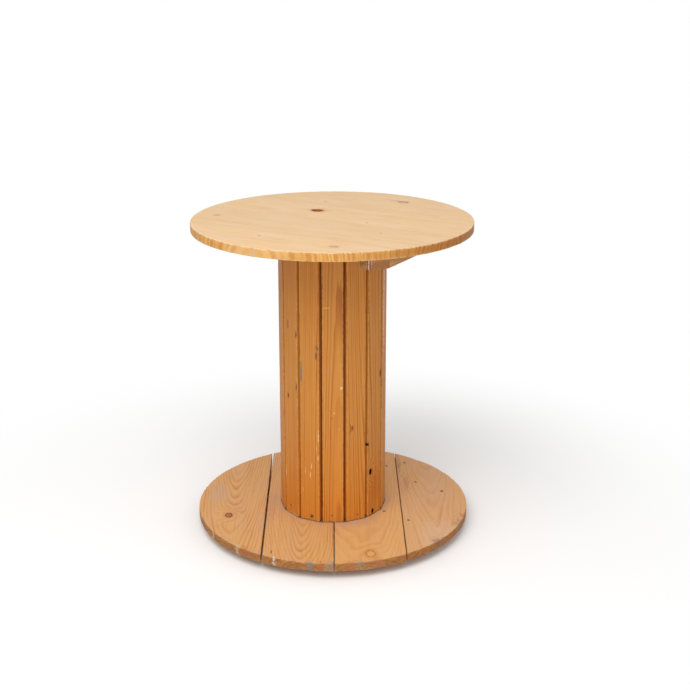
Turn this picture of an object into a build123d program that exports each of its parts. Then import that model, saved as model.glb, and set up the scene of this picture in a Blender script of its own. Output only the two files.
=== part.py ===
from build123d import *

import math
import os

# Wooden cable drum: two round plank flanges on a barrel of straight staves.
#
# The drum stands on its lower flange. +Z is up, the origin is the centre of its footprint, and
# -Y is the front. Each flange is four planks side by side, cut round, and tied together by two
# battens on its underside. The barrel is a ring of square-edged staves that touch at their inner
# corners, so that a V-shaped groove opens between each pair. The staves are nailed to a
# many-sided head inside each end of the barrel.

# Flanges: planks cut to one circle
flange_diameter = 600.0
plank_thickness = 18.0
plank_arris = 1.5

# Upper flange: tight joints, its planks turned in plan
upper_plank_angle = -31.0
upper_plank_pitch = 149.0
upper_seam_shift = -18.0
upper_joint_gaps = (0.4, 0.4, 0.4)

# Lower flange: dried-out joints that stand open, its planks run from front to back
lower_plank_angle = 90.0
lower_plank_pitch = 149.5
lower_seam_shift = -2.0
lower_joint_gaps = (1.6, 2.0, 3.6)

# Battens: two under each flange, square to its planks
batten_width = 47.0
batten_thickness = 18.0
batten_arris = 1.0
upper_batten_offsets = {"right": 213.5, "left": -164.5}
upper_batten_lengths = {"right": 430.0, "left": 404.0}
lower_batten_offsets = {"front": -140.0, "back": 140.0}
lower_batten_length = 400.0

# Barrel: a ring of staves
barrel_length = 630.0
stave_count = 14
stave_width = 45.0
stave_thickness = 15.0
stave_arris = 1.2
stave_joint_gap = 0.4

# Heads: the blocks inside the barrel's ends that the staves are nailed to
head_thickness = 28.0
head_clearance = 0.1

# A knot that fell out of one upper plank and left a hole: its place along the plank, its
# place across the planks, and its size both ways
knot_hole_along = -71.0
knot_hole_across = 56.0
knot_hole_length = 27.0
knot_hole_width = 24.0

# Heights, from the floor up
flange_radius = flange_diameter / 2
lower_flange_z = batten_thickness
barrel_z = lower_flange_z + plank_thickness
upper_flange_z = barrel_z + barrel_length
upper_batten_z = upper_flange_z - batten_thickness

# Barrel section: the inner faces' distance from the axis follows from the stave's width
stave_pitch_angle = 360.0 / stave_count
inner_apothem = (stave_width + stave_joint_gap) / 2 / math.tan(math.radians(stave_pitch_angle / 2))
head_apothem = inner_apothem - head_clearance


def plank(low, high, angle, base_z):
    """One plank of a flange, between two sides and within the circle, with its arrises eased."""
    strip = Pos(0, (low + high) / 2) * Rectangle(2 * flange_diameter, high - low)
    outline = strip & Circle(flange_radius)
    body = extrude(outline, plank_thickness)
    flat_edges = body.edges().filter_by(Axis.Z, reverse=True)
    body = chamfer(flat_edges, plank_arris)
    return Pos(0, 0, base_z) * Rot(0, 0, angle) * body


def flange_planks(pitch, seam_shift, joint_gaps, angle, base_z):
    """The planks of a flange, one more than its joints; the outer two run on to the rim."""
    beyond_rim = flange_diameter
    middle = (len(joint_gaps) - 1) / 2
    seams = [seam_shift + (count - middle) * pitch for count in range(len(joint_gaps))]
    lows = [-beyond_rim, *(seam + gap / 2 for seam, gap in zip(seams, joint_gaps))]
    highs = [*(seam - gap / 2 for seam, gap in zip(seams, joint_gaps)), beyond_rim]
    return [plank(low, high, angle, base_z) for low, high in zip(lows, highs)]


def batten(offset, length, plank_angle, base_z):
    """A tie across the planks, whose outer corners are sawn off with the flange's circle."""
    bar = Pos(offset, 0) * Rectangle(batten_width, length)
    outline = bar & Circle(flange_radius)
    body = extrude(outline, batten_thickness)
    body = chamfer(body.edges().filter_by(Axis.Z, reverse=True), batten_arris)
    return Pos(0, 0, base_z) * Rot(0, 0, plank_angle) * body


def stave(number):
    """One stave; the first faces the front, and the rest follow anticlockwise."""
    section = Pos(inner_apothem + stave_thickness / 2, 0) * Rectangle(stave_thickness, stave_width)
    body = extrude(section, barrel_length)
    outer_edges = body.edges().filter_by(Axis.Z).sort_by(Axis.X)[-2:]
    body = chamfer(outer_edges, stave_arris)
    turn = -90.0 + number * stave_pitch_angle
    return Pos(0, 0, barrel_z) * Rot(0, 0, turn) * body


def head(base_z):
    """A many-sided block that fills the end of the barrel, one side to each stave."""
    outline = RegularPolygon(head_apothem, stave_count, major_radius=False)
    turn = -90.0 + stave_pitch_angle / 2
    return Pos(0, 0, base_z) * Rot(0, 0, turn) * extrude(outline, head_thickness)


def knot_hole():
    """The hole's cutter, through the whole upper flange."""
    outline = Ellipse(knot_hole_length / 2, knot_hole_width / 2)
    cutter = extrude(outline, plank_thickness)
    place = Pos(knot_hole_along, knot_hole_across, 0)
    return Pos(0, 0, upper_flange_z) * Rot(0, 0, upper_plank_angle) * place * cutter


parts = {}

lower = flange_planks(
    lower_plank_pitch, lower_seam_shift, lower_joint_gaps, lower_plank_angle, lower_flange_z
)
for count, piece in enumerate(lower, 1):
    parts[f"lower_plank_{count}"] = piece

upper = flange_planks(
    upper_plank_pitch, upper_seam_shift, upper_joint_gaps, upper_plank_angle, upper_flange_z
)
for count, piece in enumerate(upper, 1):
    parts[f"upper_plank_{count}"] = piece
holed = "upper_plank_3"
parts[holed] = parts[holed] - knot_hole()

for side, offset in lower_batten_offsets.items():
    parts[f"lower_batten_{side}"] = batten(offset, lower_batten_length, lower_plank_angle, 0.0)
for side, offset in upper_batten_offsets.items():
    parts[f"upper_batten_{side}"] = batten(
        offset, upper_batten_lengths[side], upper_plank_angle, upper_batten_z
    )

for number in range(stave_count):
    parts[f"stave_{number + 1:02d}"] = stave(number)

parts["lower_head"] = head(barrel_z)
parts["upper_head"] = head(upper_flange_z - head_thickness)

os.makedirs("parts", exist_ok=True)
for name, piece in parts.items():
    export_step(piece, f"parts/{name}.step")
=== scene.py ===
import functools
import math

import bmesh
import bpy
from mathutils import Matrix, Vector, noise


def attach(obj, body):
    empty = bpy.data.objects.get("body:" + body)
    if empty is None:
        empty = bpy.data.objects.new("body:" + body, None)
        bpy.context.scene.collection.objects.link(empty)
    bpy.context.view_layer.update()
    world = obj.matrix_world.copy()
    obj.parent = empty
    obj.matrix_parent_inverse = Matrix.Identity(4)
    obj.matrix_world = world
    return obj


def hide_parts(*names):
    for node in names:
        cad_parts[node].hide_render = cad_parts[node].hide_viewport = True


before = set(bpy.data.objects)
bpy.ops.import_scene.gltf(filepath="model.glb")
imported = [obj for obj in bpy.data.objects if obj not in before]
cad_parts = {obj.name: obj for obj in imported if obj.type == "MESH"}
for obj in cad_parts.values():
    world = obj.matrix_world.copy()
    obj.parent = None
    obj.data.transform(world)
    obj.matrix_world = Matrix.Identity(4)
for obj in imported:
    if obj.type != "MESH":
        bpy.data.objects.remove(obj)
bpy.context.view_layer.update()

MM = 0.001

# Camera: found from the ellipses of the two flanges in a 690 pixel square picture
PICTURE = 690
FOCAL_PIXELS = 1236.0
OPTICAL_ROW = 276.0
AXIS_COLUMN = 332.0
CAMERA_PITCH = math.radians(15.11)
CAMERA_BACK = 2.563
CAMERA_HEIGHT = 1.250

# The drum's planks and staves, as the frame has them
UPPER_ANGLE = math.radians(-31.0)
LOWER_ANGLE = math.radians(90.0)
STAVES = 14
RIM_RADIUS = 0.300
UP = Vector((0, 0, 1))

# Boards are cut from one endless plank: each board's grain starts this far along it, in mm
STRETCH = 2000.0

# How strong the noise has to be before an arris chips or gouges, and how long saw marks are
CHIPS_FROM = 0.12
GOUGES_FROM = 0.35
SAW_MARK = 0.007
# Added to a board's number, so that each kind of unevenness has noise of its own
GOUGE_SEED, SAW_SEED, WARP_SEED = 20, 50, 90

# A tone darker than this marks the wall of a hole
HOLE_TONE = -0.2
# Where the painted shadow line and the dust at the barrel's foot start to fade and where they
# end, in metres from the drum's axis
FOOT_SHADOW_LINE = (0.1144, 0.1164)
FOOT_DUST = (0.115, 0.139)

# The inputs of a node that mixes two colours: how much of the upper one, the under, the upper
SHARE, UNDER, OVER = 0, 6, 7


def colour(code):
    """The linear colour of an sRGB hex value."""
    parts = [int(code[i:i + 2], 16) / 255 for i in (1, 3, 5)]
    linear = [c / 12.92 if c <= 0.04045 else ((c + 0.055) / 1.055) ** 2.4 for c in parts]
    return (*linear, 1.0)


def add(tree, kind, inputs=(), output=0, **settings):
    """Adds a node with its settings and with values or links to its inputs; returns an output."""
    node = tree.nodes.new(kind)
    for name, value in settings.items():
        setattr(node, name, value)
    for name, value in inputs.items() if isinstance(inputs, dict) else enumerate(inputs):
        if isinstance(value, bpy.types.NodeSocket):
            tree.links.new(value, node.inputs[name])
        elif value is not None:
            node.inputs[name].default_value = value
    return node.outputs[output] if node.outputs else None


# Board shapes

def plank_axes(angle):
    """A flat board's directions: along its grain, across it, and out of its upper face."""
    return (Vector((math.cos(angle), math.sin(angle), 0)),
            Vector((-math.sin(angle), math.cos(angle), 0)), UP)


def stave_axes(number):
    """A stave's directions: up along its grain, across it to the right, and out of the barrel."""
    angle = math.radians(-90 + (number - 1) * 360 / STAVES)
    return (UP, Vector((-math.sin(angle), math.cos(angle), 0)),
            Vector((math.cos(angle), math.sin(angle), 0)))


def extents(node, axes):
    """The CAD node's lowest and highest reach in each of a board's directions."""
    corners = [v.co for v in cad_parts[node].data.vertices]
    reaches = [[corner.dot(axis) for corner in corners] for axis in axes]
    return [(min(reach), max(reach)) for reach in reaches]


def outline(reach, low, high, radius, step):
    """A board's face, anticlockwise: a strip between two sides, its ends on a circle or square."""
    if radius is None:
        count = max(2, round((high - low) / step))
        right = [(reach, low + (high - low) * i / count) for i in range(count + 1)]
    else:
        first = math.asin(max(-1.0, low / radius))
        last = math.asin(min(1.0, high / radius))
        turn = math.acos(min(1.0, reach / radius))
        stops = sorted({first, last, *(t for t in (-turn, turn) if first < t < last)})
        angles = []
        for a, b in zip(stops[:-1], stops[1:]):
            count = max(1, round((b - a) * radius / step))
            angles += [a + (b - a) * i / count for i in range(count)]
        angles.append(last)
        right = [(min(reach, radius * math.cos(a)), radius * math.sin(a)) for a in angles]
    ring = right + [(-x, y) for x, y in reversed(right)]
    points = []
    for here, there in zip(ring, ring[1:] + ring[:1]):
        length = math.dist(here, there)
        if length < step / 50:
            continue
        count = max(1, round(length / step))
        points += [(here[0] + (there[0] - here[0]) * i / count,
                    here[1] + (there[1] - here[1]) * i / count) for i in range(count)]
    return points


def inward(points):
    """For each outline point, the step that moves it in by one unit from both of its sides."""
    steps = []
    for before, here, after in zip(points[-1:] + points[:-1], points, points[1:] + points[:1]):
        a = Vector((here[0] - before[0], here[1] - before[1])).normalized()
        b = Vector((after[0] - here[0], after[1] - here[1])).normalized()
        side_a, side_b = Vector((-a.y, a.x)), Vector((-b.y, b.x))
        steps.append((side_a + side_b) / max(0.4, 1 + side_a.dot(side_b)))
    return steps


def roughness(point, size, seed):
    """Smooth noise from -1 to 1 with lumps of about that size, the same on every run."""
    return noise.noise(Vector(point) / size + Vector((seed * 7.3, seed * 3.1, seed * 5.7)))


def lay_grain(data, axes, middle, number, pith, tone, thick, holes):
    """Gives each vertex its place in the plank it was cut from, and where that tree's centre ran.

    Places are in mm along, across and out from the board's middle. pith is where the centre ran,
    across and out, and how much nearer the face it comes per mm along. The walls of holes get
    their own tone.
    """
    start = STRETCH * number
    centre = (pith[0], pith[1] + pith[2] * start, pith[2])
    state = data.attributes["state"].data
    grain = []
    for vertex in data.vertices:
        x, y, z = (Vector([vertex.co.dot(axis) for axis in axes]) - middle) / MM
        grain += (x + start, y, z)
        for along, across, half_length, half_width, _, flare, shade in holes:
            if math.hypot((x - along) / half_length, (y - across) / half_width) < flare * 1.2:
                inside = abs(z) < thick / MM / 2 - 0.5
                state[vertex.index].vector = (0, 0, shade if inside else tone)
    for name, values in (("grain", grain), ("pith", centre * len(data.vertices))):
        data.attributes.new(name, "FLOAT_VECTOR", "POINT").data.foreach_set("vector", values)


def board(name, node, axes, shape, pith, tone, number, holes=()):
    """One board: sawn to its outline, its arrises worn and chipped, its faces very slightly uneven.

    shape holds sizes in metres: step between points, arris at the ends or rim, side arris, chip
    depth and size, saw marks, cup, radius of the circle it is cut to, cell of the faces' grid; how
    far the rim's dirt hides that part of it is cut along the grain, and how dark its joints are.
    tone is how much lighter or darker the board is. Each hole is (along, across, half length, half
    width, depth, flare at its mouth, its wall's tone), in mm, bored in from the outer face.
    """
    (low_l, high_l), (low_t, high_t), (low_n, high_n) = extents(node, axes)
    middle = Vector(((low_l + high_l) / 2, 0, (low_n + high_n) / 2))
    reach, thick = (high_l - low_l) / 2, high_n - low_n
    points = outline(reach, low_t, high_t, shape["radius"], shape["step"])
    steps = inward(points)
    # Each ring of the profile: how far in and how high, in arrises, how worn, how much it is cut
    profile = [(3.0, 0.0, 0.0, 0.0), (1.0, 0.0, 0.6, 0.0), (0.3, 0.3, 1.0, 0.5),
               (0.0, 1.0, 0.6, 1.0), (0.0, 2.2, 0.1, 1.0)]
    rings = [(inset, rise, worn, cut, 0) for inset, rise, worn, cut in profile]
    rings += [(0.0, 0.0, 0.0, 1.0, share) for share in (0.33, 0.5, 0.67)]
    rings += [(inset, -rise, worn, cut, 1) for inset, rise, worn, cut in reversed(profile)]

    mesh = bmesh.new()
    state = mesh.verts.layers.float_vector.new("state")
    loops = []
    for inset, rise, worn, cut, base in rings:
        loop = []
        for (x, y), step in zip(points, steps):
            end = abs(step.normalized().x)
            if shape["radius"]:
                at_end = abs(math.hypot(x, y) - shape["radius"]) < 1e-5
                end = max(end, shape["soiled"] * at_end)
            else:
                at_end = end > 0.5
            arris = shape["arris"] if at_end else shape["side_arris"]
            z = base * thick + rise * arris - thick / 2
            place = (x, y, z * 3)
            lump = max(0.0, roughness(place, shape["chip_size"], number) - CHIPS_FROM)
            gouge = roughness(place, shape["chip_size"] * 4, number + GOUGE_SEED)
            lump += max(0.0, gouge - GOUGES_FROM) * shape["gouge"]
            chip = lump * worn * (shape["chip"] if at_end else shape["side_chip"])
            saw = (1 + roughness((x, y, z / 4), SAW_MARK, number + SAW_SEED)) / 2
            saw *= shape["saw"] * at_end
            moved = Vector((x, y)) + step * (inset * arris + chip + saw * (cut == 1))
            vertex = mesh.verts.new((moved.x, moved.y, z - math.copysign(chip * 0.7, z)))
            shade = tone if at_end else tone - shape["seam"] * min(1.0, worn + cut)
            vertex[state] = (worn if at_end or not shape["seam"] else 0.0, end * cut, shade)
            loop.append(vertex)
        loops.append(loop)
    count = len(points)
    for lower, upper in zip(loops[:-1], loops[1:]):
        for i in range(count):
            j = (i + 1) % count
            mesh.faces.new((lower[i], lower[j], upper[j], upper[i]))
    mesh.faces.new(list(reversed(loops[0])))
    mesh.faces.new(loops[-1])
    cuts = [((x, 0, 0), (1, 0, 0)) for x in spread(-reach, reach, shape["cell"])]
    cuts += [((0, y, 0), (0, 1, 0)) for y in spread(low_t, high_t, shape["cell"] * 0.6)]
    for place, normal in cuts:
        everything = mesh.verts[:] + mesh.edges[:] + mesh.faces[:]
        bmesh.ops.bisect_plane(mesh, geom=everything, dist=1e-6, plane_co=place, plane_no=normal)

    width = high_t - low_t
    for vertex in mesh.verts:
        x, y, z = vertex.co
        across = 2 * (y - low_t) / width - 1
        sink = shape["cup"] * (1 - across ** 2) / 2
        sink += shape["cup"] * (1 + roughness((x, y, 0), 0.15, number + WARP_SEED)) / 4
        vertex.co.z -= sink * (z / thick + 0.5)
    piece = placed(name, mesh, axes, middle)
    if holes:
        bore(piece, [hole_cutter(hole, axes, middle, thick) for hole in holes])
    lay_grain(piece.data, axes, middle, number, pith, tone, thick, holes)
    piece.data.shade_smooth()
    piece.data.set_sharp_from_angle(angle=math.radians(40))
    return piece


def placed(name, mesh, axes, middle):
    """Turns a board's own directions into the drum's, and makes an object of it."""
    for vertex in mesh.verts:
        local = vertex.co + middle
        vertex.co = axes[0] * local.x + axes[1] * local.y + axes[2] * local.z
    bmesh.ops.recalc_face_normals(mesh, faces=mesh.faces[:])
    data = bpy.data.meshes.new(name)
    mesh.to_mesh(data)
    mesh.free()
    piece = bpy.data.objects.new(name, data)
    bpy.context.scene.collection.objects.link(piece)
    return piece


def hole_cutter(hole, axes, middle, thick):
    """The shape of a fallen knot: uneven, wider at the face, from above the face to its depth."""
    x, y, half_length, half_width, depth, flare = hole[:6]
    mesh = bmesh.new()
    count, loops = 28, []
    top = thick / MM / 2
    for out, grow in ((top + 2, flare), (top + 0.1, flare), (top - 0.8, (flare + 1) / 2),
                      (top - depth / 3, 1.0), (top - depth * 0.7, 0.93), (top - depth, 0.86)):
        loop = []
        for i in range(count):
            turn = 2 * math.pi * i / count
            wave = 1 + 0.1 * roughness((math.cos(turn), math.sin(turn), out / 9), 0.7, x)
            loop.append(mesh.verts.new((MM * (x + half_length * grow * wave * math.cos(turn)),
                                        MM * (y + half_width * grow * wave * math.sin(turn)),
                                        MM * out)))
        loops.append(loop)
    for upper, lower in zip(loops[:-1], loops[1:]):
        for i in range(count):
            j = (i + 1) % count
            mesh.faces.new((upper[i], lower[i], lower[j], upper[j]))
    mesh.faces.new(loops[0])
    mesh.faces.new(list(reversed(loops[-1])))
    return placed("knot_cutter", mesh, axes, middle)


def finish_mesh(piece):
    """Makes what a piece's modifiers give its plain mesh, and takes them off."""
    evaluated = piece.evaluated_get(bpy.context.evaluated_depsgraph_get())
    finished = bpy.data.meshes.new_from_object(evaluated)
    piece.modifiers.clear()
    piece.data = finished


def bore(piece, cutters):
    """Takes each cutter out of the piece and leaves a plain mesh."""
    for cutter in cutters:
        cut = piece.modifiers.new("bore", "BOOLEAN")
        cut.operation, cut.solver, cut.object = "DIFFERENCE", "EXACT", cutter
    finish_mesh(piece)
    for cutter in cutters:
        bpy.data.objects.remove(cutter)


def spread(low, high, step):
    """Places between low and high, at most a step apart, without the two ends."""
    count = max(2, math.ceil((high - low) / step))
    return [low + (high - low) * i / count for i in range(1, count)]


# Materials

def wood(name, look, knots=(), marks=(), stains=(), foot=False):
    """Pine whose growth rings run through its depth, so that faces, edges and ends match.

    look holds the colours and the sizes in mm. Each knot is (board, along, across, half length,
    half width, swell in rings, heart colour, rim colour). Each mark is (board, along, across,
    half length, half width, colour, strength, raggedness), its places in mm as the knots' are.
    Stains are marks that the sawn ends don't have. foot adds the dust round the barrel's foot
    and a painted shadow, a thin dark line where the barrel stands.
    """
    material = bpy.data.materials.new(name)
    material.use_nodes = True
    tree = material.node_tree
    tree.nodes.clear()
    put = functools.partial(add, tree)
    smooth = {"interpolation_type": "SMOOTHSTEP"}
    rgba = {"data_type": "RGBA", "output": 2}

    grain = put("ShaderNodeAttribute", attribute_name="grain", output=1)
    pith = put("ShaderNodeAttribute", attribute_name="pith", output=1)
    state = put("ShaderNodeAttribute", attribute_name="state", output=1)
    along = put("ShaderNodeSeparateXYZ", [grain])
    across, out = along.node.outputs[1], along.node.outputs[2]
    pith_across = put("ShaderNodeSeparateXYZ", [pith])
    pith_out, pith_slope = pith_across.node.outputs[1], pith_across.node.outputs[2]
    worn = put("ShaderNodeSeparateXYZ", [state])
    end, tone = worn.node.outputs[1], worn.node.outputs[2]

    def lumps(size, detail=2.0, rough=0.5, output=0, seed=0.0):
        """Noise with lumps of the given size in mm along, across and out."""
        scale = tuple(1 / length for length in size)
        scaled = put("ShaderNodeMapping", {"Vector": grain, "Location": (seed, seed, seed),
                                           "Scale": scale})
        return put("ShaderNodeTexNoise", {"Vector": scaled, "Scale": 1.0, "Detail": detail,
                                          "Roughness": rough}, output=output)

    def nearness(number, x, y, half_length, half_width):
        """How far a point is from a spot on one board, where 1 is the spot's edge."""
        scale = (1 / half_length, 1 / half_width, 0.0)
        place = (-(x + number * STRETCH) * scale[0], -y * scale[1], 0.0)
        near = put("ShaderNodeMapping", {"Vector": grain, "Location": place, "Scale": scale})
        return put("ShaderNodeVectorMath", [near], operation="LENGTH", output=1)

    def dab(paint, spots):
        """Lays ragged spots of colour over the paint."""
        for number, x, y, half_length, half_width, shade, strong, rough in spots:
            near = nearness(number, x, y, half_length, half_width)
            near = put("ShaderNodeMath", [ragged, rough, near], operation="MULTIPLY_ADD")
            inside = put("ShaderNodeMapRange", [near, 0.6, 1.1, strong, 0.0], **smooth)
            paint = put("ShaderNodeMix", {SHARE: inside, UNDER: paint, OVER: colour(shade)}, **rgba)
        return paint

    ragged = put("ShaderNodeMath", [lumps((5, 5, 5), 3.0, seed=13.0), 0.5], operation="SUBTRACT")

    # The distance from the tree's wandering centre, counted in growth rings
    wander = lumps(look["wander_size"], 1.0, output=1)
    wander = put("ShaderNodeVectorMath", [wander, (0.5, 0.5, 0.5)], operation="SUBTRACT")
    wander = put("ShaderNodeSeparateXYZ", [wander])
    wander_out = wander.node.outputs[1]
    side = put("ShaderNodeMath", [across, pith_across], operation="SUBTRACT")
    side = put("ShaderNodeMath", [wander, look["wander"], side], operation="MULTIPLY_ADD")
    slope = put("ShaderNodeMath", [along, pith_slope], operation="MULTIPLY")
    depth = put("ShaderNodeMath", [out, pith_out], operation="SUBTRACT")
    depth = put("ShaderNodeMath", [depth, slope], operation="ADD")
    depth = put("ShaderNodeMath", [wander_out, look["wander"], depth], operation="MULTIPLY_ADD")
    radius = put("ShaderNodeCombineXYZ", [side, depth, 0.0])
    radius = put("ShaderNodeVectorMath", [radius], operation="LENGTH", output=1)
    rings = put("ShaderNodeMath", [radius, 1 / look["ring"]], operation="MULTIPLY")
    rings = put("ShaderNodeMath", [lumps((70, 9, 9)), look["waver"], rings],
                operation="MULTIPLY_ADD")

    # Grain swells round each knot
    reaches = []
    for number, x, y, half_length, half_width, swell, heart, rim in knots:
        near = nearness(number, x, y, half_length, half_width)
        bulge = put("ShaderNodeMapRange", [near, 0.4, 4.5, swell, 0.0], **smooth)
        rings = put("ShaderNodeMath", [rings, bulge], operation="ADD")
        reaches.append((near, heart, rim))

    # Each ring is pale early wood that darkens into a thin line of late wood, then starts afresh
    within = put("ShaderNodeMath", [rings], operation="FRACT")
    which = put("ShaderNodeMath", [rings], operation="FLOOR")
    strength = put("ShaderNodeTexWhiteNoise", {"W": which}, noise_dimensions="1D")
    strength = put("ShaderNodeMapRange", [strength, 0.0, 1.0, look["faintest"], 1.0])
    rise = put("ShaderNodeMapRange", [within, look["early"], 0.88, 0.0, 1.0], **smooth)
    fall = put("ShaderNodeMapRange", [within, 0.90, 1.0, 1.0, 0.0], **smooth)
    late = put("ShaderNodeMath", [rise, fall], operation="MULTIPLY")
    late = put("ShaderNodeMath", [late, strength], operation="MULTIPLY")
    patchy = put("ShaderNodeMapRange", [lumps((150, 25, 25), seed=9.0), 0.3, 0.7,
                                        look["patchy"], 1.0])
    late = put("ShaderNodeMath", [late, patchy], operation="MULTIPLY")

    # Faces: streaks along the grain and the varnish's cast, then the rings over them
    paint = colour(look["early_wood"])
    for cast, size, seed, low, high in (("streak", (260, 5, 5), 6.0, 0.42, 0.72),
                                        ("cloud", (110, 55, 55), 5.0, 0.38, 0.68),
                                        ("blush", (75, 9, 9), 5.0, 0.54, 0.76)):
        share = put("ShaderNodeMapRange", [lumps(size, 3.0, 0.6, seed=seed), low, high,
                                           0.0, look[cast]], **smooth)
        shade = colour(look[cast + "_colour"])
        paint = put("ShaderNodeMix", {SHARE: share, UNDER: paint, OVER: shade}, **rgba)
    line = put("ShaderNodeMath", [late, look["contrast"]], operation="MULTIPLY", use_clamp=True)
    paint = put("ShaderNodeMix", {SHARE: line, UNDER: paint,
                                  OVER: colour(look["late_wood"])}, **rgba)
    paint = dab(paint, stains)

    # Sawn ends: rings in bold uneven bands and soiled; painted shade darkens them on the side
    # away from the light
    bands = put("ShaderNodeMath", [rings, 0.7], operation="MULTIPLY")
    bands = put("ShaderNodeTexNoise", {"W": bands, "Scale": 1.0, "Detail": 1.0},
                noise_dimensions="1D")
    bands = put("ShaderNodeMapRange", [bands, 0.45, 0.62, 0.0, look["bands"]], **smooth)
    line = put("ShaderNodeMath", [late, look["end_contrast"]], operation="MULTIPLY", use_clamp=True)
    line = put("ShaderNodeMath", [line, bands], operation="MAXIMUM")
    ends = put("ShaderNodeMix", {SHARE: line, UNDER: colour(look["end_early"]),
                                 OVER: colour(look["end_late"])}, **rgba)
    soaked = put("ShaderNodeMapRange", [lumps((30, 12, 12), 4.0, 0.65, seed=23.0), 0.4, 0.68,
                                        0.0, look["end_soil"]])
    ends = put("ShaderNodeMix", {SHARE: soaked, UNDER: ends,
                                 OVER: colour(look["end_soil_colour"])}, **rgba)
    place = put("ShaderNodeTexCoord", output=3)
    rightward = put("ShaderNodeSeparateXYZ", [place])
    backward, upward = rightward.node.outputs[1], rightward.node.outputs[2]
    # Painted shade: the ends darken towards the drum's right, away from the key light
    painted_shade_share = put("ShaderNodeMapRange", [rightward, 0.0, 0.24, 0.0, 1.0], **smooth)
    ends = put("ShaderNodeMix", {SHARE: painted_shade_share, UNDER: ends, OVER: colour(look["end_painted_shade"])},
               blend_type="MULTIPLY", **rgba)
    cut = put("ShaderNodeMapRange", [end, 0.03, 0.3, 0.0, 1.0], **smooth)
    paint = put("ShaderNodeMix", {SHARE: cut, UNDER: paint, OVER: ends}, **rgba)
    fibres = lumps((55, 0.9, 0.9), 2.0, 0.6, seed=7.0)
    fibre_light = put("ShaderNodeMapRange", [fibres, 0.25, 0.75,
                                             1 - look["fibre"], 1 + look["fibre"]])
    paint = put("ShaderNodeVectorMath", {0: paint, "Scale": fibre_light}, operation="SCALE")

    # Arrises rubbed pale in places and soiled in others
    rub = put("ShaderNodeMapRange", [lumps((7, 4, 4), 3.0, seed=11.0), 0.42, 0.58,
                                     0.0, look["edge_wear"]], **smooth)
    rub = put("ShaderNodeMath", [rub, worn], operation="MULTIPLY")
    paint = put("ShaderNodeMix", {SHARE: rub, UNDER: paint,
                                  OVER: colour(look["edge_colour"])}, **rgba)
    soil = put("ShaderNodeMapRange", [lumps((16, 9, 9), 3.0, 0.6, seed=15.0), 0.56, 0.7,
                                      0.0, look["edge_soil"]], **smooth)
    soil = put("ShaderNodeMath", [soil, worn], operation="MULTIPLY")
    paint = put("ShaderNodeMix", {SHARE: soil, UNDER: paint,
                                  OVER: colour(look["soil_colour"])}, **rgba)

    # Knots: a rim round a heart, in wood that darkens towards them
    for near, heart, rim in reaches:
        near = put("ShaderNodeMath", [ragged, 0.5, near], operation="MULTIPLY_ADD")
        halo = put("ShaderNodeMapRange", [near, 0.9, 2.2, 0.35, 0.0], **smooth)
        paint = put("ShaderNodeMix", {SHARE: halo, UNDER: paint,
                                      OVER: colour(look["late_wood"])}, **rgba)
        inside = put("ShaderNodeMapRange", [near, 0.9, 1.15, 1.0, 0.0], **smooth)
        paint = put("ShaderNodeMix", {SHARE: inside, UNDER: paint, OVER: colour(rim)}, **rgba)
        inside = put("ShaderNodeMapRange", [near, 0.6, 0.9, 1.0, 0.0], **smooth)
        paint = put("ShaderNodeMix", {SHARE: inside, UNDER: paint, OVER: colour(heart)}, **rgba)
    paint = dab(paint, marks)

    if foot:
        # Pale dust round the barrel's foot, and painted shadow: a thin dark line in the corner
        # where the barrel stands on the flange.
        # flat is how far from the axis a stave's face would be, if it passed through the point
        turn = put("ShaderNodeMath", [backward, rightward], operation="ARCTAN2")
        turn = put("ShaderNodeMath", [turn, math.pi / 2], operation="ADD")
        turn = put("ShaderNodeMath", [turn, math.pi / STAVES], operation="PINGPONG")
        turn = put("ShaderNodeMath", [turn], operation="COSINE")
        flat = put("ShaderNodeVectorMath", [place, (1.0, 1.0, 0.0)], operation="MULTIPLY")
        flat = put("ShaderNodeVectorMath", [flat], operation="LENGTH", output=1)
        flat = put("ShaderNodeMath", [flat, turn], operation="MULTIPLY")
        spread_out = put("ShaderNodeMath", [ragged, 0.024, flat], operation="MULTIPLY_ADD")
        flat = put("ShaderNodeMath", [ragged, 0.005, flat], operation="MULTIPLY_ADD")
        dust = put("ShaderNodeMapRange", [spread_out, *FOOT_DUST, 0.5, 0.0], **smooth)
        paint = put("ShaderNodeMix", {SHARE: dust, UNDER: paint, OVER: colour("#BC9A7E")}, **rgba)
        # Painted shadow: a thin dark line where the staves meet the flange
        foot_shadow_line = put("ShaderNodeMapRange", [flat, *FOOT_SHADOW_LINE, 0.75, 0.0], **smooth)
        paint = put("ShaderNodeMix", {SHARE: foot_shadow_line, UNDER: paint, OVER: colour("#54382A")}, **rgba)
    if look.get("painted_bounce"):
        # Painted light bounced up from the lower flange: the staves turn deeper orange at their
        # feet
        low = put("ShaderNodeMapRange", [upward, 0.03, 0.36, 1.0, 0.0], **smooth)
        paint = put("ShaderNodeMix", {SHARE: low, UNDER: paint, OVER: colour(look["painted_bounce"])},
                    blend_type="MULTIPLY", **rgba)

    # Bare wood, orange with resin, on the walls of holes
    bored = put("ShaderNodeMapRange", [tone, HOLE_TONE, HOLE_TONE - 0.05, 0.0, 1.0])
    paint = put("ShaderNodeMix", {SHARE: bored, UNDER: paint, OVER: colour("#C8743A")}, **rgba)
    # Tone scales the colour; the near-black walls of the stave's holes are painted shade
    light = put("ShaderNodeMath", [tone, 1.0], operation="ADD")
    paint = put("ShaderNodeVectorMath", {0: paint, "Scale": light}, operation="SCALE")

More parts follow.
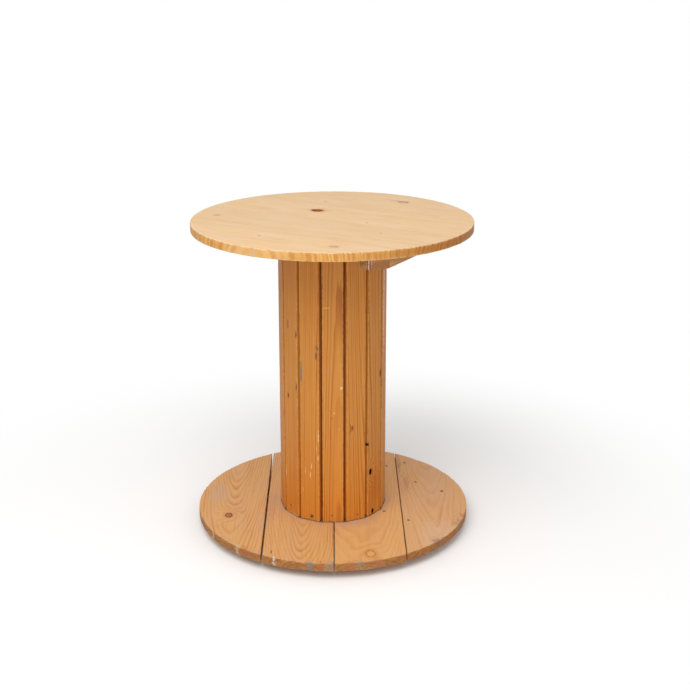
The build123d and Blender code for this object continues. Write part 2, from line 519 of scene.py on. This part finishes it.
    gloss = put("ShaderNodeMapRange", [lumps((70, 40, 40), 4.0, 0.6, seed=17.0), 0.3, 0.7,
                                       *look["gloss"]])
    height = put("ShaderNodeMath", [late, 0.6], operation="MULTIPLY")
    height = put("ShaderNodeMath", [fibres, 0.5, height], operation="MULTIPLY_ADD")
    bump = put("ShaderNodeBump", {"Strength": look["relief"], "Distance": 0.0004, "Height": height})
    shader = put("ShaderNodeBsdfPrincipled", {"Base Color": paint, "Roughness": gloss,
                                              "Normal": bump, "IOR": 1.45,
                                              "Coat Weight": look["coat"], "Coat Roughness": 0.3,
                                              "Specular IOR Level": 0.3})
    put("ShaderNodeOutputMaterial", [shader])
    return material


def steel(name, shade, roughness_range):
    """Drawn steel: grey metal with a brown bloom where it has started to rust."""
    material = bpy.data.materials.new(name)
    material.use_nodes = True
    tree = material.node_tree
    tree.nodes.clear()
    put = functools.partial(add, tree)
    place = put("ShaderNodeTexCoord", output=3)
    # Spots of bloom are about 2.2 mm across, so 450 of them lie along a metre
    bloom = put("ShaderNodeTexNoise", {"Vector": place, "Scale": 450.0, "Detail": 3.0})
    rust = put("ShaderNodeMapRange", [bloom, 0.5, 0.68, 0.0, 0.8], interpolation_type="SMOOTHSTEP")
    paint = put("ShaderNodeMix", {SHARE: rust, UNDER: colour(shade), OVER: colour("#6B4A38")},
                data_type="RGBA", output=2)
    dull = put("ShaderNodeMapRange", [bloom, 0.3, 0.7, *roughness_range])
    metal = put("ShaderNodeMapRange", [rust, 0.0, 0.8, 1.0, 0.3])
    shader = put("ShaderNodeBsdfPrincipled", {"Base Color": paint, "Roughness": dull,
                                              "Metallic": metal})
    put("ShaderNodeOutputMaterial", [shader])
    return material


# Pale pine under clear satin varnish, little worn: faint rings on its face, bold ones on the rim,
# where the saw left the ends open and the varnish soaked in
UPPER_LOOK = {
    "early_wood": "#EAC592", "late_wood": "#D89A54", "ring": 3.4, "early": 0.35, "faintest": 0.4,
    "patchy": 0.3, "contrast": 0.6, "wander_size": (480, 150, 150), "wander": 6.0, "waver": 0.5,
    "streak_colour": "#DFAC72", "streak": 0.6, "cloud_colour": "#EBC9A2", "cloud": 0.5,
    "blush_colour": "#DCA062", "blush": 0.6,
    "end_early": "#E4AF5E", "end_late": "#BE722E", "end_contrast": 0.9, "end_soil": 0.4,
    # The ends' third colour is painted shade, multiplied in towards the drum's right
    "end_soil_colour": "#C8894A", "end_painted_shade": "#DCC09A", "bands": 0.65,
    "edge_colour": "#F2D8AC", "edge_wear": 0.7, "edge_soil": 0.4, "soil_colour": "#A8743F",
    "fibre": 0.05, "gloss": (0.34, 0.5), "relief": 0.25, "coat": 0.1,
}
# Flat-sawn pine with old varnish, worn thin and dusty: bold arched rings on its face, a brown,
# soiled and chipped rim
LOWER_LOOK = {
    "early_wood": "#DCA86A", "late_wood": "#C47028", "ring": 4.8, "early": 0.3, "faintest": 0.25,
    "patchy": 0.35, "contrast": 0.9, "wander_size": (200, 70, 70), "wander": 17.0, "waver": 0.5,
    "streak_colour": "#CB9052", "streak": 0.4, "cloud_colour": "#D4A47A", "cloud": 0.5,
    "blush_colour": "#CC8C4A", "blush": 0.5,
    "end_early": "#BA7E42", "end_late": "#804C22", "end_contrast": 0.5, "end_soil": 0.75,
    # The ends' third colour is painted shade, multiplied in towards the drum's right
    "end_soil_colour": "#8C5A34", "end_painted_shade": "#FFF4E8", "bands": 0.5,
    "edge_colour": "#CFA67C", "edge_wear": 0.55, "edge_soil": 0.7, "soil_colour": "#7A5A46",
    "fibre": 0.06, "gloss": (0.45, 0.62), "relief": 0.3, "coat": 0.04,
}
# Orange-varnished planed pine: fine upright rings, a satin sheen, arrises rubbed pale
STAVE_LOOK = {
    "early_wood": "#D28C3E", "late_wood": "#A25614", "ring": 3.2, "early": 0.35, "faintest": 0.25,
    "patchy": 0.5, "contrast": 0.95, "wander_size": (420, 60, 60), "wander": 5.0, "waver": 0.5,
    "streak_colour": "#BE7430", "streak": 0.5, "cloud_colour": "#CE9148", "cloud": 0.4,
    "blush_colour": "#BE7028", "blush": 0.3,
    "end_early": "#B98450", "end_late": "#8A5628", "end_contrast": 0.7, "end_soil": 0.4,
    "end_soil_colour": "#8A5A34", "end_painted_shade": "#FFFFFF", "bands": 0.3,
    "edge_colour": "#E0AC62", "edge_wear": 0.55, "edge_soil": 0.4, "soil_colour": "#6E4020",
    # The last colour is painted light bounced up from the lower flange, multiplied in at the feet
    "fibre": 0.05, "gloss": (0.36, 0.5), "relief": 0.2, "coat": 0.03, "painted_bounce": "#FFF0CC",
}
# Sawn pine with a thin coat: rough, matt, darker and redder on its cut ends
SAWN_LOOK = {
    "early_wood": "#CF9C60", "late_wood": "#A06A36", "ring": 3.4, "early": 0.4, "faintest": 0.3,
    "patchy": 0.5, "contrast": 0.7, "wander_size": (360, 90, 90), "wander": 10.0, "waver": 0.6,
    "streak_colour": "#B47C44", "streak": 0.5, "cloud_colour": "#BE8E60", "cloud": 0.5,
    "blush_colour": "#A8703C", "blush": 0.4,
    "end_early": "#A4703E", "end_late": "#744220", "end_contrast": 0.7, "end_soil": 0.4,
    "end_soil_colour": "#82502A", "end_painted_shade": "#FFFFFF", "bands": 0.4,
    "edge_colour": "#DDB98C", "edge_wear": 0.7, "edge_soil": 0.5, "soil_colour": "#7A5238",
    "fibre": 0.1, "gloss": (0.5, 0.7), "relief": 0.6, "coat": 0.0,
}
# Bare sawn pine inside the barrel
PLAIN_LOOK = {**SAWN_LOOK, "early_wood": "#DDBD8E", "late_wood": "#C39359"}

# How far a stave's middle is above the floor, in mm: its knots and marks are given by height
MIDDLE = 351.0

upper_pine = wood(
    "varnished_pine_of_upper_flange", UPPER_LOOK,
    knots=[(4, 49, 230, 12, 9, 1.4, "#C8967C", "#8E5E50"),
           (1, 131, -212, 9, 6.5, 1.0, "#CFA488", "#A87C68"),
           (2, -233, -94, 7, 5.5, 1.0, "#CCA488", "#B48C74"),
           (3, 83, 3, 2.5, 2.0, 0.5, "#8A4A2C", "#B87C4C"),
           (2, 154, -68, 2.2, 2.0, 0.3, "#8C6450", "#B08A6C"),
           (1, -46, -208, 2.6, 2.4, 0.3, "#8A7A7C", "#A0847A"),
           (4, -105, 146, 3.0, 2.2, 0.4, "#9A6C4C", "#B88860"),
           (3, -71, 56, 15.5, 14.0, 2.0, "#A8683A", "#B47A48")],
    marks=[(3, -71, 56, 34, 17, "#DFA56E", 0.4, 1.5),
           (3, -84, 56, 4.0, 7, "#3A1E14", 0.9, 1.0),
           (3, -58, 55, 2.6, 6, "#8C8488", 0.7, 1.0),
           (4, 20, 236, 22, 5, "#C98E5E", 0.6, 2.4)])
lower_pine = wood(
    "worn_varnished_pine_of_lower_flange", LOWER_LOOK, foot=True,
    knots=[(4, -77, 229, 10.5, 8, 2.6, "#B06A42", "#3E2A26"),
           (2, -258, -77, 15, 10.5, 1.8, "#DBA364", "#B87A3C"),
           (1, 41, -249, 4, 3.5, 0.8, "#7A4A3C", "#8E5C48"),
           (1, 91, -192, 3.5, 3, 0.6, "#8A5240", "#A06A50")],
    stains=[(1, 0, -225, 900, 200, "#DAA878", 0.38, 1.0),
            (2, 0, -75, 900, 200, "#DEA668", 0.38, 1.0),
            (1, 190, -157, 45, 5, "#8E4F38", 0.5, 5.0),
            (1, 85, -170, 36, 9, "#8A5038", 0.25, 6.5),
            (1, -180, -225, 90, 45, "#D8B292", 0.5, 2.0),
            (1, 60, -235, 120, 40, "#CFA480", 0.4, 2.0),
            (3, -35, 135, 90, 13, "#C08A68", 0.45, 2.6),
            (4, 40, 262, 60, 22, "#C4A184", 0.4, 2.0),
            (2, -118, -40, 22, 60, "#C49A7C", 0.5, 1.6),
            (1, -20, -132, 60, 20, "#B49A8C", 0.4, 2.4)],
    marks=[(3, -248, 128, 7, 2.4, "#6E5048", 0.8, 0.8),
           (3, -274, 122, 9, 2.4, "#E0D0BC", 0.8, 5.0),
           (3, -296, 47, 8, 6, "#78828A", 0.6, 6.0),
           (3, -297, 26, 8, 5, "#B8582C", 0.45, 5.0),
           (3, -298, 8, 8, 11, "#A8927C", 0.5, 6.0),
           (2, -297, -34, 9, 9, "#B4643A", 0.45, 6.0),
           (2, -296, -54, 9, 9, "#A08C7A", 0.5, 6.0),
           (2, -286, -92, 12, 9, "#B87450", 0.5, 6.0),
           (1, -118, -275, 14, 14, "#8C6E62", 0.5, 6.0),
           (1, -84, -287, 14, 12, "#B45A2C", 0.5, 6.0),
           (1, -200, -222, 14, 14, "#8A6A54", 0.5, 6.0),
           (4, -155, 257, 4, 5, "#DCC4A4", 0.5, 6.0),
           (4, -236, 185, 12, 9, "#AE603A", 0.5, 6.0),
           (4, -222, 200, 7, 4.5, "#D6BEA0", 0.5, 6.0)])
stave_pine = wood(
    "orange_varnished_pine_of_staves", STAVE_LOOK,
    # The first two knots sit on the stave's holes: their near-black hearts are painted shade
    knots=[(3, 139 - MIDDLE, -12.9, 7.5, 4.2, 2.6, "#120C0A", "#5A3018"),
           (3, 43.6 - MIDDLE, -4.3, 5.2, 3.4, 0.4, "#0E0A0A", "#5A3A20"),
           (2, 251 - MIDDLE, -8.3, 5, 2.2, 1.2, "#9A4A1C", "#A8602A"),
           (13, 310 - MIDDLE, -9.6, 5, 2.4, 0.8, "#7A3018", "#9A4C24")],
    marks=[(3, 100 - MIDDLE, 4, 45, 20, "#A85A18", 0.3, 1.6),
           (13, 37.4 - MIDDLE, 2, 1.9, 21, "#F2C088", 0.95, 0.5),
           (3, 205 - MIDDLE, -21.4, 4.5, 2.2, "#1A100C", 0.95, 0.8),
           (3, 356 - MIDDLE, 20, 9, 3, "#4A1C10", 0.9, 1.2),
           (1, 344 - MIDDLE, 18, 4, 3, "#E0C8A4", 0.85, 2.4),
           (13, 470 - MIDDLE, -9, 10, 4, "#8A6644", 0.7, 2.4),
           (13, 453 - MIDDLE, 19, 9, 3, "#5E4632", 0.8, 1.8),
           (13, 336 - MIDDLE, 19, 12, 2.4, "#5A4432", 0.8, 1.8),
           (14, 432 - MIDDLE, 18, 7, 4, "#6E5A42", 0.8, 2.2),
           (14, 415 - MIDDLE, 17, 9, 4, "#6E5A42", 0.8, 2.2),
           (14, 372 - MIDDLE, -19, 26, 2.6, "#7A7262", 0.8, 1.8),
           (14, 234 - MIDDLE, 20.4, 15, 0.9, "#F0D4A8", 0.85, 2.0),
           (14, 204 - MIDDLE, 16, 8, 0.8, "#EAC48C", 0.7, 2.0),
           (14, 184 - MIDDLE, 19.6, 10, 0.9, "#F0D4A8", 0.8, 2.0),
           (14, 162 - MIDDLE, 4, 7, 1.0, "#EED0A0", 0.8, 1.6),
           (14, 150 - MIDDLE, -11, 9, 0.9, "#EAC48C", 0.7, 2.0),
           (14, 143 - MIDDLE, 1, 8, 1.2, "#EED0A0", 0.8, 2.0),
           (14, 105 - MIDDLE, -17, 6, 0.9, "#EAC48C", 0.7, 1.6),
           (13, 132 - MIDDLE, -20.4, 15, 1.2, "#EED4B0", 0.85, 2.4),
           (1, 520 - MIDDLE, -12, 1.2, 8, "#E2BE88", 0.7, 0.6),
           (1, 288 - MIDDLE, 3, 1.5, 1.4, "#E8CDA4", 0.8, 1.0),
           (1, 252 - MIDDLE, 14, 1.4, 1.3, "#E8CDA4", 0.8, 1.0),
           (1, 276 - MIDDLE, -2, 2, 1.6, "#8A5A30", 0.8, 1.0),
           (2, 290 - MIDDLE, -8, 4, 2.6, "#B08078", 0.6, 1.4),
           # A long pale streak high on the right stave: partly scuffed varnish, partly painted
           # sheen
           (4, 520 - MIDDLE, -9, 120, 6, "#E8D2BC", 0.85, 3.6)])
batten_pine = wood(
    "sawn_pine_of_battens", SAWN_LOOK,
    marks=[(1, -200, -226, 24, 16, "#96603A", 0.6, 2.2),
           (1, -212, -210.5, 12, 4.6, "#9E6044", 0.6, 3.0),
           (1, -212, -207.4, 12, 0.9, "#54302A", 0.8, 2.0),
           (1, -212, -209.4, 12, 0.8, "#DCC4B0", 0.6, 6.0),
           (1, -212, -211.8, 12, 1.2, "#643632", 0.6, 6.0),
           (1, -212, -213.2, 12, 0.7, "#D4B49C", 0.4, 6.0)])
plain_pine = wood("bare_pine_of_heads", PLAIN_LOOK)
# Plain drawn steel gone dull: small grey dots that hardly glint
nail_steel = steel("dulled_steel_of_nails", "#6E6C72", (0.4, 0.6))
# Bright drawn steel: a paler head with a sharper glint
screw_steel = steel("bright_steel_of_screws", "#B9B7AE", (0.28, 0.45))
# Painted shade in the screws' crosses: near black and matt, so that each cross reads dark
recess_shade = steel("painted_shade_in_screw_recesses", "#1C1814", (0.6, 0.8))


# Nails and screws

def head_tree(recess):
    """Sets a nail's flat head, or a screw's head with a cross in it, on each point."""
    tree = bpy.data.node_groups.new("fastener_heads", "GeometryNodeTree")
    face = tree.interface
    for label, kind, side in (("Places", "NodeSocketGeometry", "INPUT"),
                              ("Diameter", "NodeSocketFloat", "INPUT"),
                              ("Height", "NodeSocketFloat", "INPUT"),
                              ("Finish", "NodeSocketMaterial", "INPUT"),
                              ("Recess_shade", "NodeSocketMaterial", "INPUT"),
                              ("Heads", "NodeSocketGeometry", "OUTPUT")):
        face.new_socket(label, in_out=side, socket_type=kind)
    put = functools.partial(add, tree)
    places = put("NodeGroupInput")
    diameter, height, finish, recess_shade = places.node.outputs[1:5]
    radius = put("ShaderNodeMath", [diameter, 0.5], operation="MULTIPLY")
    brow = put("ShaderNodeMath", [radius, 0.86], operation="MULTIPLY")
    disc = put("GeometryNodeMeshCone", {"Vertices": 16, "Radius Top": brow, "Radius Bottom": radius,
                                        "Depth": height})
    if recess:
        slot = put("ShaderNodeMath", [diameter, 0.6], operation="MULTIPLY")
        wide = put("ShaderNodeMath", [diameter, 0.2], operation="MULTIPLY")
        lift = put("ShaderNodeMath", [height, 0.85], operation="MULTIPLY")
        lift = put("ShaderNodeCombineXYZ", {"Z": lift})
        for size in ([slot, wide, height], [wide, slot, height]):
            size = put("ShaderNodeCombineXYZ", size)
            bar = put("GeometryNodeMeshCube", {"Size": size})
            bar = put("GeometryNodeTransform", {"Geometry": bar, "Translation": lift})
            disc = put("GeometryNodeMeshBoolean", [disc, bar], operation="DIFFERENCE")
        # What lies below the head's face and off its flank is the recess
        spot = put("GeometryNodeInputPosition")
        flat = put("ShaderNodeVectorMath", [spot, (1.0, 1.0, 0.0)], operation="MULTIPLY")
        flat = put("ShaderNodeVectorMath", [flat], operation="LENGTH", output=1)
        inner = put("FunctionNodeCompare", [flat, slot], operation="LESS_THAN", data_type="FLOAT")
        spot = put("ShaderNodeSeparateXYZ", [spot], output=2)
        face_height = put("ShaderNodeMath", [height, 0.95], operation="MULTIPLY")
        below = put("FunctionNodeCompare", [spot, face_height], operation="LESS_THAN",
                    data_type="FLOAT")
        deep = put("FunctionNodeBooleanMath", [inner, below], operation="AND")
        disc = put("GeometryNodeStoreNamedAttribute",
                   {"Geometry": disc, "Name": "recess", "Value": deep},
                   data_type="BOOLEAN", domain="FACE")
    facing = put("GeometryNodeInputNamedAttribute", {"Name": "facing"}, data_type="FLOAT_VECTOR")
    # Inputs 2 and 3 are the least and the most that a head is turned
    spin = put("FunctionNodeRandomValue", {2: 0.0, 3: math.tau, "Seed": 7}, data_type="FLOAT",
               output=1)
    turn = put("FunctionNodeAlignRotationToVector", {"Vector": facing}, axis="Z")
    own = put("ShaderNodeCombineXYZ", {"Z": spin})
    own = put("FunctionNodeEulerToRotation", [own])
    turn = put("FunctionNodeRotateRotation", [turn, own], rotation_space="LOCAL")
    heads = put("GeometryNodeInstanceOnPoints",
                {"Points": places, "Instance": disc, "Rotation": turn})
    heads = put("GeometryNodeRealizeInstances", [heads])
    heads = put("GeometryNodeSetMaterial", {"Geometry": heads, "Material": finish})
    # The cross's faces take the near-black finish: painted shade in the recess
    recess = put("GeometryNodeInputNamedAttribute", {"Name": "recess"}, data_type="BOOLEAN")
    heads = put("GeometryNodeSetMaterial",
                {"Geometry": heads, "Selection": recess, "Material": recess_shade})
    put("NodeGroupOutput", [heads])
    return tree


def fasteners(name, places, diameter, height, finish, recess):
    """The heads that show at these places, each a point in metres and the way that it faces."""
    data = bpy.data.meshes.new(name)
    data.from_pydata([point for point, _ in places], [], [])
    layer = data.attributes.new("facing", "FLOAT_VECTOR", "POINT")
    for item, (_, facing) in zip(layer.data, places):
        item.vector = facing
    piece = bpy.data.objects.new(name, data)
    bpy.context.scene.collection.objects.link(piece)
    tree = head_tree(recess)
    inputs = {item.name: item.identifier for item in tree.interface.items_tree}
    modifier = piece.modifiers.new("heads", "NODES")
    modifier.node_group = tree
    modifier[inputs["Diameter"]] = diameter
    modifier[inputs["Height"]] = height
    modifier[inputs["Finish"]] = finish
    modifier[inputs["Recess_shade"]] = recess_shade
    finish_mesh(piece)
    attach(piece, "root")


def on_stave(number, across, height, sunk):
    """A point on a stave's outer face, in mm, sunk below it, and the way that the face looks."""
    up, right, outward = stave_axes(number)
    reach = extents(f"stave_{number:02d}", (outward,))[0][1]
    return (right * across * MM + up * height * MM + outward * (reach - sunk * MM), outward)


# Pieces

UPPER_SHAPE = {"radius": RIM_RADIUS, "step": 0.004, "cell": 0.03, "arris": 0.0013, "chip": 0.0011,
               "side_arris": 0.0005, "side_chip": 0.0006, "chip_size": 0.007, "gouge": 0.2,
               "saw": 0.0004, "cup": 0.0002, "soiled": 0.2, "seam": 0.17}
LOWER_SHAPE = {**UPPER_SHAPE, "arris": 0.0014, "chip": 0.0028, "side_arris": 0.0008,
               "side_chip": 0.0014, "gouge": 1.4, "saw": 0.0008, "cup": 0.0005, "soiled": 0.3}
BATTEN_SHAPE = {**UPPER_SHAPE, "arris": 0.0009, "side_arris": 0.0009, "side_chip": 0.0015,
                "gouge": 0.8, "soiled": 0.0, "seam": 0.0}
STAVE_SHAPE = {**UPPER_SHAPE, "radius": None, "seam": 0.0, "step": 0.006, "arris": 0.0008,
               "chip": 0.003, "side_arris": 0.0011, "side_chip": 0.0009, "gouge": 2.0,
               "saw": 0.0003}

# For each board: where the tree's centre ran, across and out in mm, its slope, and how much
# lighter or darker than the rest the board is
UPPER_BOARDS = {1: (-420, -8, 0.004, 0.0), 2: (120, -70, 0.02, -0.02),
                3: (-170, -60, 0.015, 0.01), 4: (420, -30, 0.01, 0.0)}
LOWER_BOARDS = {1: (-225, -60, -0.08, 0.0), 2: (-60, -90, -0.09, 0.03),
                3: (66, 2, -0.145, 0.0), 4: (222, -28, -0.11, -0.01)}
STAVE_BOARDS = {1: (14, -34, 0.012, 0.03), 2: (30, -32, -0.022, 0.02), 3: (-26, -40, 0.01, 0.0),
                4: (40, -40, 0.01, 0.0), 12: (-40, -40, 0.01, -0.02),
                13: (-50, -50, 0.01, 0.0), 14: (50, -46, 0.01, 0.02)}
# Holes that knots fell out of, each as board says. The stave's two holes have near-black walls:
# painted shade inside them
HOLES = {"upper_plank_3": [(-71, 56, 12.4, 12.8, 40, 1.04, -0.26)],
         "stave_03": [(139 - MIDDLE, -12.9, 6.8, 4.2, 9, 1.1, -0.95),
                      (43.6 - MIDDLE, -4.3, 5.0, 3.6, 9, 1.1, -0.96)]}


def dress(piece, node, material):
    """The piece takes its finish, rides on the drum and stands for its CAD node."""
    piece.data.materials.clear()
    piece.data.materials.append(material)
    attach(piece, "root")
    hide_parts(node)


def lay_boards(kind, boards, axes_of, shape, material):
    """Builds each board of one kind and puts it in its CAD node's place."""
    for number, (*pith, tone) in boards.items():
        node = kind.format(number)
        piece = board(f"pine_{node}", node, axes_of(number), shape, pith, tone, number,
                      HOLES.get(node, ()))
        dress(piece, node, material)


def stave_pith(number):
    """Where the tree's centre ran, and the tone, for a stave that the front view doesn't show."""
    return (number * 37 % 160 - 80, -40 - number * 13 % 50, 0.02, (number * 29 % 7 - 3) / 100)


lay_boards("upper_plank_{}", UPPER_BOARDS, lambda number: plank_axes(UPPER_ANGLE), UPPER_SHAPE,
           upper_pine)
lay_boards("lower_plank_{}", LOWER_BOARDS, lambda number: plank_axes(LOWER_ANGLE), LOWER_SHAPE,
           lower_pine)
lay_boards("stave_{:02d}", {n: STAVE_BOARDS.get(n, stave_pith(n)) for n in range(1, STAVES + 1)},
           stave_axes, STAVE_SHAPE, stave_pine)
# For each batten: which way its flange's planks run, and how far along them it lies, in mm
BATTENS = {"upper_batten_right": (UPPER_ANGLE, 215), "upper_batten_left": (UPPER_ANGLE, -165),
           "lower_batten_front": (LOWER_ANGLE, -140), "lower_batten_back": (LOWER_ANGLE, 140)}
for number, (node, (angle, offset)) in enumerate(BATTENS.items(), 1):
    # A batten's grain runs square to the planks', so its across direction is against theirs
    axes = plank_axes(angle + math.pi / 2)
    piece = board(f"pine_{node}", node, axes, BATTEN_SHAPE, (-offset + 18, -34, 0.02), 0.0, number)
    dress(piece, node, batten_pine)
for node in ("lower_head", "upper_head"):
    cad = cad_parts[node]
    cad.data.materials.clear()
    cad.data.materials.append(plain_pine)

# A nail holds each stave to the head at either end, but for the front left stave's foot, where a
# screw does, and the next one to the right of the two nails, where a hole is left. But for the
# two, nails stray a few mm from a true ring by their stave's number. Nail heads are sunk by
# this much, in mm, and the screw's head stands out by as much
SUNK = 0.1
nails = [on_stave(1, -2.8, 52, SUNK), on_stave(2, 3.8, 48, SUNK)]
for number in range(4, STAVES):
    nails.append(on_stave(number, number * 17 % 11 - 5, 44 + number * 23 % 12, SUNK))
for number in range(1, STAVES + 1):
    nails.append(on_stave(number, number * 13 % 11 - 5, 646 + number * 19 % 12, SUNK))
fasteners("stave_nails", nails, diameter=0.0032, height=0.0006, finish=nail_steel, recess=False)
# The lower flange's upper face is this far above the floor, in mm
LOWER_FACE = 36.0
flange_nails = [(Vector((x, y, LOWER_FACE - SUNK)) * MM, UP)
                for x, y in ((163.9, -106.1), (113, -61.7), (128.1, 182.9), (172.6, 200.9))]
fasteners("lower_flange_nails", flange_nails, diameter=0.0062, height=0.0006, finish=nail_steel,
          recess=False)
screws = [on_stave(14, 3.7, 46, -SUNK)]
for node in ("upper_batten_right", "upper_batten_left"):
    angle, offset = BATTENS[node]
    run, side, _ = plank_axes(angle)
    (low, high), (bottom, _) = extents(node, (side, UP))
    for share in (0.08, 0.2, 0.36, 0.47, 0.62, 0.74, 0.92):
        spot = side * (low + (high - low) * share) + run * (offset + (share * 40) % 9 - 4) * MM
        screws.append((spot + UP * (bottom + 0.0008), -UP))
fasteners("screws", screws, diameter=0.0076, height=0.0014, finish=screw_steel, recess=True)


# Floor, light and camera

def stage():
    """A white floor that keeps the drum's shadow and runs out to plain white."""
    bpy.ops.mesh.primitive_circle_add(vertices=64, radius=40, fill_type="NGON")
    floor = bpy.context.object
    floor.name = "floor"
    material = bpy.data.materials.new("white_floor")
    material.use_nodes = True
    tree = material.node_tree
    tree.nodes.clear()
    put = functools.partial(add, tree)
    seen = put("ShaderNodeLightPath")
    # Matt white paper, which throws a little less light up at the drum than the camera sees
    lit = put("ShaderNodeMix", {SHARE: seen, UNDER: colour("#D8D6D3"), OVER: colour("#FFFFFF")},
              data_type="RGBA", output=2)
    # Between 0.4 and 1.1 m from the drum's axis the floor turns to plain white
    place = put("ShaderNodeTexCoord", output=3)
    reach = put("ShaderNodeVectorMath", [place], operation="LENGTH", output=1)
    far = put("ShaderNodeMapRange", [reach, 0.4, 1.1, 0.0, 1.0], interpolation_type="SMOOTHSTEP")
    far = put("ShaderNodeMath", [far, seen], operation="MULTIPLY")
    matt = put("ShaderNodeBsdfDiffuse", {"Color": lit})
    white = put("ShaderNodeEmission", {"Color": (1, 1, 1, 1), "Strength": 1.0})
    mixed = put("ShaderNodeMixShader", [far, matt, white])
    put("ShaderNodeOutputMaterial", [mixed])
    floor.data.materials.append(material)

    world = bpy.data.worlds.new("studio")
    bpy.context.scene.world = world
    world.use_nodes = True
    tree = world.node_tree
    tree.nodes.clear()
    put = functools.partial(add, tree)
    seen = put("ShaderNodeLightPath")
    # The sky lights the drum less than the white that the camera sees
    strength = put("ShaderNodeMix", {"Factor": seen, "A": 0.68, "B": 1.0})
    sky = put("ShaderNodeBackground", {"Color": (1, 1, 1, 1), "Strength": strength})
    put("ShaderNodeOutputWorld", [sky])


def softbox(name, place, target, size, power):
    """A square lamp that faces a point."""
    data = bpy.data.lights.new(name, "AREA")
    data.size = size
    data.energy = power
    lamp = bpy.data.objects.new(name, data)
    lamp.location = place
    lamp.rotation_euler = (Vector(target) - Vector(place)).to_track_quat("-Z", "Y").to_euler()
    bpy.context.scene.collection.objects.link(lamp)


stage()
drum_middle = (0, 0, 0.35)
softbox("key_softbox", (-0.6, -1.7, 2.5), drum_middle, size=1.9, power=42)
softbox("front_softbox", (0.4, -3.0, 0.9), drum_middle, size=1.6, power=8)

data = bpy.data.cameras.new("camera")
data.sensor_width = 36.0
data.lens = FOCAL_PIXELS / PICTURE * data.sensor_width
data.shift_y = (OPTICAL_ROW - PICTURE / 2) / PICTURE
camera = bpy.data.objects.new("camera", data)
camera.location = (0, -CAMERA_BACK, CAMERA_HEIGHT)
turn = math.atan((PICTURE / 2 - AXIS_COLUMN) / FOCAL_PIXELS)
camera.rotation_euler = (math.pi / 2 - CAMERA_PITCH, 0, -turn)
bpy.context.scene.collection.objects.link(camera)
bpy.context.scene.camera = camera
bpy.context.scene.view_settings.view_transform = "Standard"
